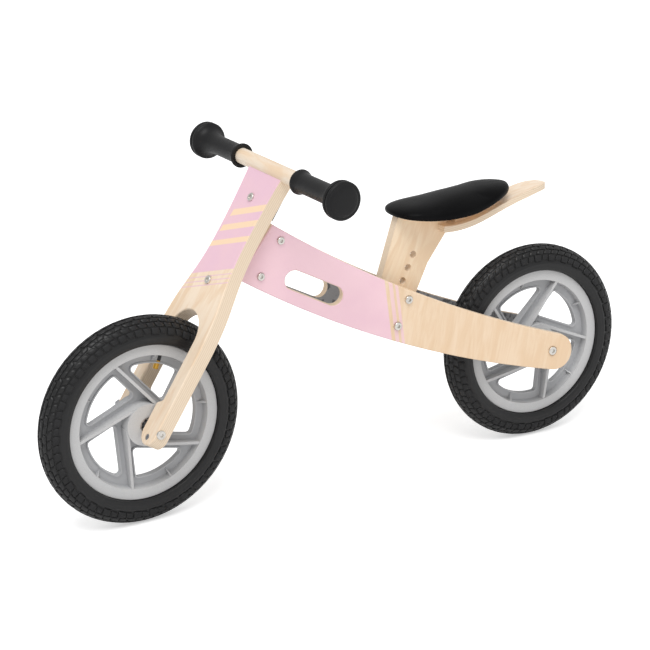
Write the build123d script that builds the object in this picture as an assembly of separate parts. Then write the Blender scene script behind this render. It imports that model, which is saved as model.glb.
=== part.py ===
from build123d import *
from math import acos, atan2, cos, degrees, radians, sin, tan
import os

# A child's wooden balance bike on two 12 1/2 inch wheels. Sizes are millimetres and degrees.
# X points forward, Y to the rider's left and Z up. Every piece is built with X measured from
# the rear axle, and is saved with its origin on the ground, midway between the two axles.

# Stance
wheelbase = 640.0
head_tilt = 33.0  # the steering axis leans back this far from upright
setback = 32.0  # the steering axis lies this far behind the front axle
steer_rest = 4.35  # the fork stands turned this far to the left

# Clearances
seat_gap = 0.05  # a piece seated in another of the same body
running_gap = 0.05  # a shaft turning in its bore
loose_gap = 0.3  # soft pieces and pieces that only pass one another

# Tyre and its inner tube
tyre_radius = 150.0
tyre_half_width = 21.0
tyre_height = 53.0  # from tread to bead, before the beads are cut back
tyre_wall = 4.0
bead_opening = 6.5  # half the gap between the beads
tube_wall = 1.2

# Rim
tyre_section = 37.5  # from the tread in to the rim's lips
rim_lip_height = 11.5
rim_half_width = 13.5
rim_lip = 3.0
rim_barrel_thickness = 4.0
rim_draft = 2.0  # the barrel closes in this far at its middle
rim_flange_width = 14.0
web_thickness = 5.0
window_lip_width = 2.0
window_lip_height = 9.0
window_corner = 5.0

# Spokes, tangent to the hub
spoke_count = 5
spoke_angle = 66.7  # where the first front spoke meets the rim
spoke_width = 21.0
rib_thickness = 4.0
rib_half_height = 12.5
rib_tangent_radius = 29.0
gusset_length = 11.0

# Hub and its 608 bearings
hub_radius = 30.0
hub_half_width = 22.0
hub_bore_radius = 9.0
bearing_outer_radius = 11.0
bearing_width = 7.0
bearing_land = 2.0  # wall of each race
ball_pitch_radius = 7.5
ball_radius = 1.95
balls_per_bearing = 7

# Valve
valve_angle = 110.0
rear_valve_angle = -0.9  # the rear valve stands behind the left plate
valve_hole_depth = 10.0  # the hole's drill runs this far past the stem's tip
valve_radius = 3.0
valve_length = 25.0  # how far the stem's tip stands in from the rim's bed
valve_collar_radius = 3.8
valve_collar_length = 7.0
valve_cap_length = 12.0
valve_cap_wall = 0.8

# Axles
axle_radius = 4.0
axle_head_radius = 6.5
axle_head_height = 3.0
washer_radius = 6.0
front_washer = 3.0
rear_spacer_radius = 7.0
nut_height = 6.5
axle_tip = 1.5  # the bolt's end stands out of its nut

# Frame plates
plate_thickness = 12.0
rear_clear_half_width = 49.0  # inside the plates at the rear axle
head_clear_half_width = 5.9  # inside the plates at the middle of the head
head_bottom = 231.6  # along the steering axis, above the front axle
head_top = 320.4
plate_front = 10.0  # the plates' front ends lie this far ahead of the steering axis
plate_rear = 34.0  # behind the rear axle
plate_rear_top = 167.5
plate_rear_bottom = 112.9
plate_top_sag = 20.6
plate_bottom_sag = 26.9
plate_rear_round = 26.5
plate_edge_round = 1.2
front_bevel_angle = 50.0
front_bevel_reach = 14.0
spot_depth = 0.9

# Carrying slot
slot_length = 94.0
slot_width = 28.0
slot_behind_head = 105.4  # its centre behind the steering axis
slot_height = 269.1  # its centre along the steering axis
slot_turn = -5.1
slot_chamfer = 1.6

# Head
block_rear = 38.0  # behind the steering axis
block_inset = 1.4
head_tube_radius = 6.5
tube_stand = 1.4  # the tube stands out of the plates at both ends
bushing_radius = 5.5
bushing_length = 20.0
bushing_flange_radius = 8.0
flange_thickness = 2.5
pivot_radius = 4.0
pivot_head_radius = 6.5
pivot_head_height = 4.0

# Cross bolts with barrel nuts
bolt_radius = 3.0
bolt_head_height = 4.0
barrel_wall = 1.0
head_bolt_radius = 5.5
head_bolt_behind = 23.5
head_bolt_heights = (249.0, 305.5)
head_barrel_length = 14.0

# Seat post and its blocks
post_thickness = 15.0
post_half_width = 29.0
post_flare = 7.06  # the front edge leans away from the row of holes
row_lean = 25.5
hole_pitch = 20.5
hole_count = 6
hole_radius = 5.25
lower_bolt_share = 0.39484  # the lower bolt's place along the wheelbase
lower_bolt_z = 226.6
bolt_hole_step = 2  # the upper bolt sits this many holes above the lower one
post_foot = 14.0
post_straight = 98.0
post_corner = 10.0
post_top_front = 158.0
post_top_rear = (-24.5, 187.0)
post_neck = (-39.2, 149.4)
seat_bolt_head_radius = 6.0
block_half_width = 25.0
block_above = 47.0
block_below = 9.0

# Saddle and tail, measured from a point above the lower seat bolt
saddle_rise = 148.4
base_thickness = 6.0
base_inset = 5.0
tail_thickness = 9.0
tail_spacer_half_width = 15.0
tail_spacer_length = 42.0
tail_spacer_middle = -132.0
seat_screw_length = 32.0
seat_screw_parts = (0.20, 0.38)  # shares of the base's length
tail_screw_length = 24.0
tail_screw_parts = (0.17, 0.26)  # shares of the tail board's length
screw_radius = 2.0
screw_head_radius = 4.0
screw_head_height = 2.0
screw_spot = 0.4

# Fork board
board_thickness = 22.0
board_front = 6.0  # its front face lies this far ahead of the axle
leg_width = 36.0
leg_drop = 5.0
boss_height = 32.0
boss_step = 12.0
arch_half_width = 36.0
arch_spring = 130.0
shoulder_height = 115.0
shoulder_curve = 85.0
waist_half_width = 37.8
waist_height = 286.0
board_top_half_width = 45.5
board_top = 398.0
board_edge_chamfer = 1.2

# Steering knuckles
knuckle_height = 30.0
knuckle_radius = 9.0
fork_bolt_head_radius = 6.0
fork_bolt_head_height = 3.0
fork_bolt_clearance = 3.0  # between a fork bolt's tip and the pivot bolt
leg_screw_drop = 12.0
leg_screw_length = 14.0
leg_screw_head_radius = 4.5

# Handlebar and grips
bar_radius = 11.0
bar_drop = 12.0  # the bar's middle lies this far below the board's top
bar_length = 350.0
bar_screw_spacing = 40.0
grip_start = 64.0
grip_end = 179.0
grip_radius = 14.0
grip_flange_radius = 17.5
grip_flange_length = 9.0
grip_flare_length = 23.0
grip_flare_radius = 25.0
grip_knob_radius = 28.5
grip_knob_length = 20.0
grip_disc_length = 9.0
grip_groove_length = 3.0
grip_groove_radius = 21.0

rim_lip_radius = tyre_radius - tyre_section
rim_bed_radius = rim_lip_radius - rim_lip_height
rim_barrel_radius = rim_bed_radius - rim_barrel_thickness
rim_flange_radius = rim_barrel_radius - rim_flange_width
valve_tip_radius = rim_bed_radius - valve_length
bar_height = board_top - bar_drop
lower_bolt_x = wheelbase * lower_bolt_share
axle_height = tyre_radius
tilt = radians(head_tilt)
head_middle = (head_bottom + head_top) / 2
tube_bottom = head_bottom - tube_stand
tube_top = head_top + tube_stand
leg_inner = hub_half_width + front_washer
leg_outer = leg_inner + leg_width
board_rear = board_front - board_thickness


# ---------- Placement ----------

def side_point(behind_axis, height):
    # X and Z of a point given behind the steering axis and along it from the front axle.
    ahead = -setback - behind_axis
    x = wheelbase + ahead * cos(tilt) - height * sin(tilt)
    z = axle_height + ahead * sin(tilt) + height * cos(tilt)
    return x, z


# Local Z runs up the steering axis, local X is forward of it and the origin is the front axle.
steering_frame = Location((wheelbase, 0, axle_height), (0, -head_tilt, 0))
steering_axis = steering_frame * Pos(-setback, 0, 0)
fork_frame = steering_axis * Rot(0, 0, steer_rest) * Pos(setback, 0, 0)

head_x = side_point(0, head_middle)[0]
splay = atan2(rear_clear_half_width - head_clear_half_width, head_x)

# On the left plate's inner face: local X runs backward along the plate, Y up and Z outward.
plate_plane = Plane(
    origin=(0, rear_clear_half_width, 0),
    x_dir=(-cos(splay), sin(splay), 0),
    z_dir=(sin(splay), cos(splay), 0),
)


def on_plate(x, z):
    return (-x / cos(splay), z)


def inner_y(x):
    return rear_clear_half_width - x * tan(splay)


def barrel_end(x):
    # Barrels stop clear of the slanting face of the left plate.
    return inner_y(x) - 1


def outer_y(x):
    return inner_y(x) + plate_thickness / cos(splay)


def mirrored(shape):
    return mirror(shape, Plane.XZ)


# ---------- Turned pieces and fasteners ----------

def rod(radius, start, end):
    # A round bar along Y.
    return Pos(0, (start + end) / 2, 0) * Rot(90, 0, 0) * Cylinder(radius, abs(end - start))


def ring(inner_radius, outer_radius, start, end):
    return rod(outer_radius, start, end) - rod(inner_radius, start - 1, end + 1)


def turned(points):
    # Revolves a closed outline of (y, radius) points about Y.
    return revolve(Plane.YZ * make_face(Polyline(*points, close=True)), Axis.Y)


def bolt(radius, length, head_radius, head_height):
    # The head stands on local Z = 0 and the shank points down.
    head = Pos(0, 0, head_height / 2) * Cylinder(head_radius, head_height)
    head = fillet(head.edges().group_by(Axis.Z)[-1], head_height * 0.35)
    socket = Pos(0, 0, head_height * 0.4) * extrude(RegularPolygon(head_radius * 0.5, 6), head_height)
    return head - socket + Pos(0, 0, -length / 2) * Cylinder(radius, length)


def barrel_nut(bore, barrel_radius, length, head_radius, head_height):
    # A flat head with a long threaded barrel, drawn like a bolt.
    body = bolt(barrel_radius, length, head_radius, head_height)
    return body - Pos(0, 0, -length / 2 - 0.5) * Cylinder(bore, length + 1)


def hex_nut(bore, corner_radius, height):
    blank = extrude(RegularPolygon(corner_radius, 6), height)
    return blank - Pos(0, 0, height / 2) * Cylinder(bore, height + 2)


facing_left = Rot(-90, 0, 0)
facing_right = Rot(90, 0, 0)
facing_front = Rot(0, 90, 0)
facing_rear = Rot(0, -90, 0)


# ---------- Wheels, about Y at the origin ----------

def spin(angle):
    # Turns a wheel from +X towards +Z.
    return Rot(0, -angle, 0)


def air_space(inset):
    # The section of the room inside the tyre, from the tread's wall down to the rim's lips.
    top = tyre_radius - tyre_wall
    middle = (top + rim_lip_radius) / 2
    return Pos(0, middle) * Ellipse(tyre_half_width - tyre_wall - inset, (top - rim_lip_radius) / 2 - inset)


def make_tyre():
    section = Pos(0, tyre_radius - tyre_height / 2) * Ellipse(tyre_half_width, tyre_height / 2)
    lip_top = rim_lip_radius + loose_gap
    bead_half_width = rim_half_width - rim_lip - seat_gap
    beside_beads = Rectangle(200, tyre_height) - Rectangle(2 * bead_half_width, tyre_height)
    section = section - Pos(0, lip_top - tyre_height / 2) * beside_beads
    section = section - Pos(0, rim_bed_radius + seat_gap - tyre_height / 2) * Rectangle(200, tyre_height)
    throat = lip_top + tyre_wall - rim_bed_radius
    section = section - Pos(0, rim_bed_radius + throat / 2) * Rectangle(2 * bead_opening, throat)
    return revolve(Plane.YZ * (section - air_space(0)), Axis.Y)


def make_inner_tube():
    section = air_space(loose_gap) - air_space(loose_gap + tube_wall)
    return revolve(Plane.YZ * section, Axis.Y)


def spoke_line(angle):
    # The rib's ends, from the barrel inward to where it touches the tangent circle.
    swing = angle + degrees(acos(rib_tangent_radius / rim_barrel_radius))
    outer = Vector(rim_barrel_radius, 0).rotate(Axis.Z, angle)
    inner = Vector(rib_tangent_radius, 0).rotate(Axis.Z, swing)
    return outer, inner


def spoke_strip(angle, width):
    outer, inner = spoke_line(angle)
    middle = (outer + inner) / 2
    along = inner - outer
    turn = degrees(atan2(along.Y, along.X))
    return Pos(middle.X, middle.Y) * Rot(0, 0, turn) * Rectangle(along.length, width)


def spoke_angles():
    return [spoke_angle + 360 / spoke_count * step for step in range(spoke_count)]


def make_windows():
    open_ring = Circle(rim_flange_radius) - Circle(hub_radius)
    for angle in spoke_angles():
        open_ring = open_ring - spoke_strip(angle, spoke_width)
    windows = open_ring.faces().filter_by(lambda face: face.area > spoke_width ** 2)
    # Shrinking and growing a window rounds its corners.
    return [offset(offset(window, -window_corner), window_corner) for window in windows]


def make_rib(angle):
    outer, inner = spoke_line(angle)
    length = (outer - inner).length
    outline = Polyline(
        (0, -rib_half_height), (length, -hub_half_width + 1),
        (length, hub_half_width - 1), (0, rib_half_height), close=True,
    )
    along = inner - outer
    turn = degrees(atan2(along.Y, along.X))
    rib = extrude(Plane.XY * make_face(outline), rib_thickness / 2, both=True)
    # The outline's Y becomes the wheel's width, and its X runs in along the spoke.
    return Pos(outer.X, 0, outer.Y) * spin(turn) * rib


def make_gusset(angle):
    half = web_thickness / 2
    outline = Polyline(
        (rim_barrel_radius - gusset_length, half), (rim_barrel_radius, half),
        (rim_barrel_radius, rim_half_width - 1), close=True,
    )
    gusset = extrude(make_face(outline), rib_thickness / 4, both=True)
    return spin(angle) * (gusset + mirrored(gusset))


def rim_section():
    middle = rim_barrel_radius - rim_draft
    half_web = web_thickness / 2
    right = [
        (half_web, rim_flange_radius), (half_web, middle), (rim_half_width, rim_barrel_radius),
        (rim_half_width, rim_lip_radius), (rim_half_width - rim_lip, rim_lip_radius),
        (rim_half_width - rim_lip, rim_bed_radius),
    ]
    left = [(-y, radius) for y, radius in reversed(right)]
    return right + left


def valve_hole():
    reach = rim_bed_radius + 1
    start = valve_tip_radius - valve_hole_depth
    drill = Cylinder(valve_collar_radius + seat_gap, reach - start)
    return spin(valve_angle) * Pos((reach + start) / 2, 0, 0) * Rot(0, 90, 0) * drill


def make_rim():
    rim = turned(rim_section())
    circles = rim.edges().filter_by(GeomType.CIRCLE)
    outer_edges = circles.filter_by(lambda edge: edge.radius > rim_bed_radius + 1)
    rim = fillet(outer_edges, rim_lip * 0.4)
    web = Circle(rim_flange_radius + 1) - Circle(hub_radius - 1)
    rim = rim + rod(hub_radius, -hub_half_width, hub_half_width)
    windows = make_windows()
    for window in windows:
        web = web - window
    rim = rim + extrude(Plane.XZ * web, web_thickness / 2, both=True)
    disc = Circle(rim_flange_radius + window_lip_width)
    for window in windows:
        lip = (offset(window, window_lip_width) & disc) - window
        rim = rim + extrude(Plane.XZ * lip, window_lip_height / 2, both=True)
    half_step = 180 / spoke_count
    for angle in spoke_angles():
        rim = rim + make_rib(angle) + make_gusset(angle + half_step)
    rim = rim - rod(hub_bore_radius, -hub_half_width - 1, hub_half_width + 1)
    pocket = rod(bearing_outer_radius + seat_gap, hub_half_width - bearing_width, hub_half_width + 1)
    return rim - pocket - mirrored(pocket) - valve_hole()


def race(inner_radius, outer_radius):
    # One race of each bearing, with the ball groove, at both ends of the hub.
    inside = hub_half_width - bearing_width
    blank = ring(inner_radius, outer_radius, inside, hub_half_width)
    groove = Rot(90, 0, 0) * Torus(ball_pitch_radius, ball_radius + running_gap)
    blank = blank - Pos(0, inside + bearing_width / 2, 0) * groove
    return Compound([blank, mirrored(blank)])


def make_balls():
    middle = hub_half_width - bearing_width / 2
    balls = []
    for step in range(balls_per_bearing):
        for y in (-middle, middle):
            turn = spin(360 / balls_per_bearing * step)
            balls.append(turn * Pos(ball_pitch_radius, y, 0) * Sphere(ball_radius))
    return Compound(balls)


def make_valve():
    stem_length = rim_lip_radius + loose_gap - valve_tip_radius - seat_gap
    stem = Pos(valve_tip_radius + stem_length / 2, 0, 0) * Rot(0, 90, 0) * Cylinder(valve_radius, stem_length)
    collar_start = rim_bed_radius - valve_collar_length
    collar = Pos(collar_start + valve_collar_length / 2, 0, 0) * Rot(0, 90, 0) \
        * Cylinder(valve_collar_radius, valve_collar_length)
    return spin(valve_angle) * (stem + collar)


def make_valve_cap():
    outer_radius = valve_radius + seat_gap + valve_cap_wall
    cap = Rot(0, 90, 0) * Cylinder(outer_radius, valve_cap_length)
    bore_depth = valve_cap_length - 2 * valve_cap_wall
    bore = Pos(valve_cap_length / 2 - bore_depth / 2, 0, 0) * Rot(0, 90, 0) \
        * Cylinder(valve_radius + seat_gap, bore_depth)
    start = valve_tip_radius - 2 * valve_cap_wall
    return spin(valve_angle) * Pos(start + valve_cap_length / 2, 0, 0) * (cap - bore)


def wheel_pieces(prefix):
    bearing_bore = axle_radius + running_gap
    return {
        prefix + "_rim": make_rim(),
        prefix + "_tyre": make_tyre(),
        prefix + "_inner_tube": make_inner_tube(),
        prefix + "_valve": make_valve(),
        prefix + "_valve_cap": make_valve_cap(),
        prefix + "_outer_races": race(bearing_outer_radius - bearing_land, bearing_outer_radius),
        prefix + "_bearing_balls": make_balls(),
        prefix + "_inner_races": race(bearing_bore, bearing_bore + bearing_land - running_gap),
        prefix + "_bearing_spacer": ring(
            bearing_bore, washer_radius,
            -hub_half_width + bearing_width, hub_half_width - bearing_width,
        ),
    }


# ---------- Frame ----------

def sagging_arc(start, end, sag):
    # An arc whose middle lies below the straight line from start to end.
    chord = Vector(*end) - Vector(*start)
    across = Vector(chord.Y, -chord.X).normalized()
    if across.Y > 0:
        across = across * -1
    middle = (Vector(*start) + Vector(*end)) / 2 + across * sag
    return ThreePointArc(start, middle, end)


def plate_outline():
    top_front = on_plate(*side_point(-plate_front, head_top))
    bottom_front = on_plate(*side_point(-plate_front, head_bottom))
    top_rear = on_plate(-plate_rear, plate_rear_top)
    bottom_rear = on_plate(-plate_rear, plate_rear_bottom)
    outline = make_face(Curve() + [
        sagging_arc(top_front, top_rear, plate_top_sag),
        Line(top_rear, bottom_rear),
        sagging_arc(bottom_rear, bottom_front, plate_bottom_sag),
        Line(bottom_front, top_front),
    ])
    rear_corners = outline.vertices().group_by(Axis.X)[-1]
    return fillet(rear_corners, plate_rear_round)


def seat_hole(step):
    # X and Z of a hole of the seat post's row, counted up from the lower bolt.
    along = hole_pitch * step
    lean = radians(row_lean)
    return lower_bolt_x - along * sin(lean), lower_bolt_z + along * cos(lean)


def seat_bolt_points():
    return [seat_hole(0), seat_hole(bolt_hole_step)]


def head_bolt_points():
    return [side_point(head_bolt_behind, height) for height in head_bolt_heights]


def across_frame(radius, x, z, start, end):
    return Pos(x, 0, z) * rod(radius, start, end)


def make_left_plate():
    plate = extrude(plate_plane * plate_outline(), plate_thickness)
    upright = plate.faces().filter_by(lambda face: abs(face.normal_at().Z) < 0.01)
    faces = upright.filter_by(lambda face: face.area > slot_length ** 2)
    plate = fillet(faces.edges(), plate_edge_round)
    center = on_plate(*side_point(slot_behind_head, slot_height))
    slot = Pos(*center) * Rot(0, 0, -head_tilt - slot_turn) * SlotOverall(slot_length, slot_width)
    plate = plate - extrude(plate_plane * slot, plate_thickness)
    rim_slot = offset(slot, slot_chamfer)
    outer_plane = plate_plane.offset(plate_thickness)
    inner_plane = plate_plane.offset(plate_thickness - slot_chamfer)
    plate = plate - loft([inner_plane * slot, outer_plane * rim_slot])
    bevel = steering_axis * Rot(0, 0, front_bevel_angle)
    far = wheelbase / 4
    plate = plate - bevel * Pos(front_bevel_reach + far / 2, 0, head_middle) * Box(far, far, wheelbase)
    tube_room = Cylinder(head_tube_radius + seat_gap, wheelbase / 4)
    plate = plate - steering_axis * Pos(0, 0, head_middle) * tube_room
    for x, z in head_bolt_points() + seat_bolt_points():
        plate = plate - across_frame(bolt_radius + loose_gap, x, z, 0, 2 * rear_clear_half_width)
    return plate - across_frame(axle_radius + running_gap, 0, axle_height, 0, 2 * rear_clear_half_width)


def spot_face(head_radius, x, z):
    # The flat pocket that a cross bolt's head sits in.
    return across_frame(head_radius + loose_gap, x, z, outer_y(x) - spot_depth, outer_y(x) + plate_thickness)


def finish_plate(plate):
    for x, z in head_bolt_points():
        plate = plate - spot_face(head_bolt_radius, x, z)
    for x, z in seat_bolt_points():
        plate = plate - spot_face(seat_bolt_head_radius, x, z)
    plate = plate - spot_face(axle_head_radius + 1, 0, axle_height)
    spacer_pocket = across_frame(rear_spacer_radius + loose_gap, 0, axle_height, 0, inner_y(0) + spot_depth)
    return plate - spacer_pocket


def make_right_plate(left_plate):
    plate = mirrored(left_plate)
    barrel = bolt_radius + running_gap + barrel_wall
    for x, z in head_bolt_points():
        plate = plate - across_frame(barrel + seat_gap, x, z, -2 * rear_clear_half_width, 0)
    for x, z in seat_bolt_points():
        plate = plate - across_frame(hole_radius, x, z, -2 * rear_clear_half_width, 0)
    return plate


def between_plates(block):
    size = 3 * wheelbase
    outside = plate_plane.location * Pos(0, 0, size / 2) * Box(size, size, size)
    return block - outside - mirrored(outside)


def make_head_block():
    height = head_top - head_bottom - 2 * block_inset
    length = block_rear + plate_front - block_inset
    middle = Pos((plate_front - block_inset - block_rear) / 2, 0, head_middle)
    block = between_plates(steering_axis * middle * Box(length, 4 * rear_clear_half_width, height))
    block = block - steering_axis * Pos(0, 0, head_middle) * Cylinder(head_tube_radius + seat_gap, 2 * height)
    barrel = bolt_radius + running_gap + barrel_wall + seat_gap
    for x, z in head_bolt_points():
        block = block - across_frame(barrel, x, z, -rear_clear_half_width, rear_clear_half_width)
    return block


def make_head_tube():
    length = tube_top - tube_bottom
    tube = Cylinder(head_tube_radius, length) - Cylinder(bushing_radius + seat_gap, length + 2)
    return steering_axis * Pos(0, 0, head_middle) * tube


def make_bushings():
    # One flanged bushing in each end of the tube.
    sleeve = Cylinder(bushing_radius, bushing_length)
    flange = Cylinder(bushing_flange_radius, flange_thickness)
    bore = Cylinder(pivot_radius + running_gap, 4 * bushing_length)
    top = Pos(0, 0, tube_top - bushing_length / 2) * sleeve
    top = top + Pos(0, 0, tube_top + flange_thickness / 2) * flange
    bottom = Pos(0, 0, tube_bottom + bushing_length / 2) * sleeve
    bottom = bottom + Pos(0, 0, tube_bottom - flange_thickness / 2) * flange
    bushings = [
        steering_axis * (top - Pos(0, 0, tube_top) * bore),
        steering_axis * (bottom - Pos(0, 0, tube_bottom) * bore),
    ]
    return Compound(bushings)


def cross_bolts(points, head_radius, nut_barrel_radius):
    # Bolts from the left and barrel nuts from the right.
    bolts = []
    nuts = []
    for x, z in points:
        seat = outer_y(x) - spot_depth
        end = barrel_end(x)
        overlap = min(1.5 * head_barrel_length, seat + end)
        bolts.append(Pos(x, seat, z) * facing_left * bolt(
            bolt_radius, seat - end + overlap - head_barrel_length / 2, head_radius, bolt_head_height))
        nuts.append(Pos(x, -seat, z) * facing_right * barrel_nut(
            bolt_radius + running_gap, nut_barrel_radius, seat + end, head_radius, bolt_head_height))
    return Compound(bolts), Compound(nuts)


def make_seat_blocks():
    middle_x, middle_z = seat_hole(bolt_hole_step / 2)
    lean = Location((middle_x, 0, middle_z), (0, -row_lean, 0))
    reach = hole_pitch * bolt_hole_step / 2
    top = block_above - reach
    bottom = -block_below - reach
    blank = lean * Pos(0, 0, (top + bottom) / 2) * Box(
        2 * block_half_width, 4 * rear_clear_half_width, top - bottom)
    middle = lean * Box(wheelbase, post_thickness, wheelbase)
    blocks = between_plates(blank) - middle
    for x, z in seat_bolt_points():
        blocks = blocks - across_frame(hole_radius, x, z, -rear_clear_half_width, rear_clear_half_width)
    return blocks


# ---------- Saddle, in side view around the point above the lower seat bolt ----------

saddle_frame = Pos(lower_bolt_x, 0, lower_bolt_z + saddle_rise)

base_curve = Spline((6, 5), (-38, 0), (-62, -1.5), (-93, -0.5), (-124, 6), (-150, 14), (-214, 22))
tail_curve = Spline((-86, -26), (-128, -23.4), (-169, -12.2), (-232, 5.3), (-262, 10.5), (-274, 10.5))
pad_top_curve = Spline((6, 14), (-12, 21), (-40, 24.5), (-110, 25), (-165, 32), (-196, 31), (-214, 26))
tail_outline = Spline(
    (-84, 25), (-150, 27.5), (-215, 22), (-262, 15), (-274, 0), tangents=((-1, 0.05), (0, -1)),
)


def saddle_outline(inset):
    # The left half of the saddle in plan, drawn in by an inset.
    side = [(-18, 24), (-70, 34), (-120, 47), (-165, 60), (-196 + inset, 48)]
    points = [(-1 - inset, 0)] + [(x, y - inset) for x, y in side] + [(-207 + inset, 0)]
    return Spline(*points, tangents=((0, 1), (0, -1)))


def band(lower, upper):
    # The face between two curves that run the same way.
    return make_face(Curve() + [
        lower, upper, Line(lower @ 0, upper @ 0), Line(lower @ 1, upper @ 1),
    ])


def plan(half_outline):
    outline = Curve() + [half_outline, mirror(half_outline, Plane.XZ)]
    start = half_outline @ 0
    if start.Y > seat_gap:
        outline = outline + [Line(start, (start.X, -start.Y))]
    return make_face(outline)


def standing(face, half_width):
    # Thickens a side view face to both sides.
    return extrude(Plane.XZ * face, half_width, both=True)


def column(face):
    return extrude(face, saddle_rise, both=True)


def lifted(curve, rise):
    return Pos(0, rise) * curve


def make_seat_base():
    plate = standing(band(base_curve, lifted(base_curve, base_thickness)), wheelbase)
    return column(plan(saddle_outline(base_inset))) & plate


def make_seat_pad():
    body = column(plan(saddle_outline(0))) & standing(band(base_curve, pad_top_curve), wheelbase)
    top = lifted(base_curve, base_thickness + loose_gap)
    room = standing(band(lifted(base_curve, -base_thickness), top), wheelbase)
    return body - (column(plan(saddle_outline(base_inset - loose_gap))) & room)


def make_tail_board(post):
    board = standing(band(tail_curve, lifted(tail_curve, tail_thickness)), wheelbase)
    return (column(plan(tail_outline)) & board) - post


def make_tail_spacer():
    board_top_curve = lifted(tail_curve, tail_thickness + seat_gap)
    gap = standing(band(board_top_curve, lifted(tail_curve, saddle_rise)), wheelbase)
    under_base = standing(band(lifted(base_curve, -saddle_rise), lifted(base_curve, -seat_gap)), wheelbase)
    blank = Pos(tail_spacer_middle, 0, 0) * Box(tail_spacer_length, 2 * tail_spacer_half_width, saddle_rise)
    return blank & gap & under_base


def post_outline():
    # In the frame of the row of holes: X across, Y up along the row from the lower bolt.
    slope = tan(radians(post_flare))
    front_foot = (post_half_width - post_foot * slope, -post_foot)
    front_top = (post_half_width + post_top_front * slope, post_top_front)
    outline = make_face(Polyline(
        front_foot, front_top, post_top_rear, post_neck,
        (-post_half_width, post_straight), (-post_half_width, -post_foot), close=True,
    ))
    return fillet(outline.vertices().group_by(Axis.Y)[0], post_corner)


def make_seat_post():
    row = Location((lower_bolt_x, 0, lower_bolt_z), (0, -row_lean, 0))
    post = row * standing(post_outline(), post_thickness / 2)
    above = standing(band(base_curve, lifted(base_curve, saddle_rise)), wheelbase)
    post = post - saddle_frame * above
    for step in range(hole_count):
        post = post - across_frame(hole_radius, *seat_hole(step), -post_thickness, post_thickness)
    return post


def on_curve(curve, fraction):
    # A frame on a side view curve, with local Z pointing away above it.
    spot = curve @ fraction
    along = curve % fraction
    return Location((spot.X, 0, spot.Y), (0, degrees(atan2(along.Y, -along.X)), 0))


seat_screw_places = [on_curve(lifted(base_curve, base_thickness), part) for part in seat_screw_parts]
tail_screw_places = [on_curve(tail_curve, part) * Rot(180, 0, 0) for part in tail_screw_parts]


def screw_set(places, length):
    screws = []
    for place in places:
        sunk = saddle_frame * place * Pos(0, 0, -screw_spot - screw_head_height)
        screws.append(sunk * bolt(screw_radius, length, screw_head_radius, screw_head_height))
    return screws


def screw_room(places, length):
    # The counterbores and pilot holes for a set of screws.
    room = []
    for place in places:
        sunk = saddle_frame * place * Pos(0, 0, -screw_spot - screw_head_height)
        counterbore = Cylinder(screw_head_radius + seat_gap, 2 * screw_head_radius)
        room.append(sunk * Pos(0, 0, screw_head_radius) * counterbore)
        room.append(sunk * Pos(0, 0, -length / 2) * Cylinder(screw_radius + seat_gap, length + 1))
    return room


def cut(shape, tools):
    for tool in tools:
        shape = shape - tool
    return shape


# ---------- Fork, in its own frame: X ahead, Y left and Z up the steering axis ----------

def board_outline():
    half = Curve() + [
        Line((0, board_top), (board_top_half_width, board_top)),
        TangentArc((waist_half_width, waist_height), (board_top_half_width, board_top), tangent=(0, 1)),
        Bezier(
            (waist_half_width, waist_height), (waist_half_width, waist_height - shoulder_curve),
            (leg_outer, shoulder_height + shoulder_curve), (leg_outer, shoulder_height),
        ),
        Line((leg_outer, shoulder_height), (leg_outer, -leg_drop)),
        ThreePointArc(
            (leg_outer, -leg_drop),
            (leg_outer - leg_width / 2, -leg_drop - leg_width / 2),
            (leg_inner, -leg_drop),
        ),
        Line((leg_inner, -leg_drop), (leg_inner, boss_height)),
        Bezier(
            (leg_inner, boss_height), (leg_inner, boss_height + boss_step / 2),
            (arch_half_width, boss_height + boss_step / 2), (arch_half_width, boss_height + boss_step),
        ),
        Line((arch_half_width, boss_height + boss_step), (arch_half_width, arch_spring)),
        CenterArc((0, arch_spring), arch_half_width, 0, 90),
    ]
    return make_face(half + mirror(half, Plane.YZ))


def knuckle_ranges():
    # Bottom and top of the two knuckles, just past the bushings' flanges.
    low = tube_bottom - flange_thickness
    high = tube_top + flange_thickness
    return [(low - knuckle_height, low), (high, high + knuckle_height)]


def fork_bolt_heights():
    return [(bottom + top) / 2 for bottom, top in knuckle_ranges()]


fork_bolt_length = board_thickness + setback + board_rear - pivot_radius - fork_bolt_clearance
leg_middle = leg_inner + leg_width / 2


def fork_bolt_places():
    return [Pos(board_front, 0, height) * facing_front for height in fork_bolt_heights()]


def leg_screw_places():
    sunk = board_front - screw_head_height - screw_spot
    return [Pos(sunk, side * leg_middle, -leg_screw_drop) * facing_front for side in (1, -1)]


def bar_screw_places():
    return [Pos(board_rear, side * bar_screw_spacing / 2, bar_height) * facing_rear for side in (1, -1)]


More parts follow.
